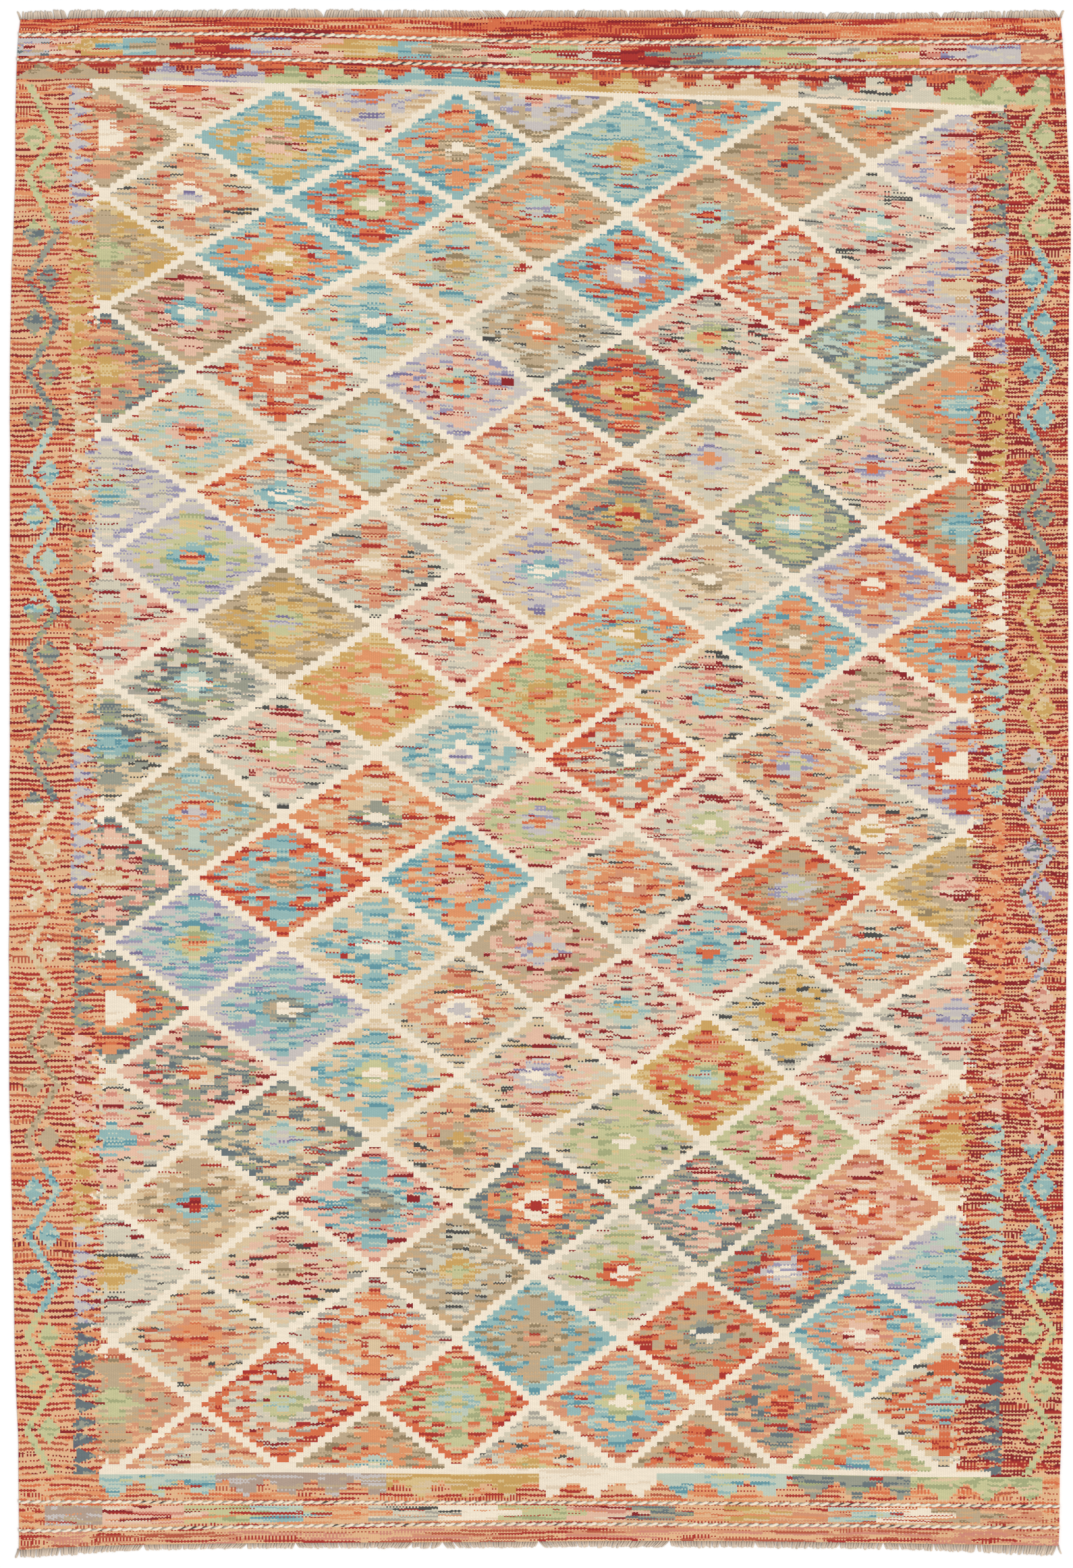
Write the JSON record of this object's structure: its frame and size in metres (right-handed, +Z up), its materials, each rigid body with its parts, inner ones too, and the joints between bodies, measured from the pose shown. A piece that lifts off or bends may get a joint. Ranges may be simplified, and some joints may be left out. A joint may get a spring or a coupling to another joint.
{
  "type": "flat-woven kilim rug with short warp fringe",
  "caption": "Flat-woven wool kilim rug lying flat, with a stepped diamond trellis, twined lines across its ends and a short fringe of warp ends.",
  "frame": {"origin": "under the middle of the rug's box, on the surface it lies on", "axes": "+Y along the rug towards its top end in the picture, +X across it to the picture's right, +Z up"},
  "size_m": [2.0467, 2.9846, 0.005],
  "materials": {
    "dyed_wool": "matte weft-faced hand-spun wool in many dyes",
    "warp_yarn": "matte undyed warp yarn"
  },
  "bodies": {
    "root": {"kilim_cloth": "dyed_wool", "fringe_top": "warp_yarn", "fringe_foot": "warp_yarn"}
  },
  "joints": []
}
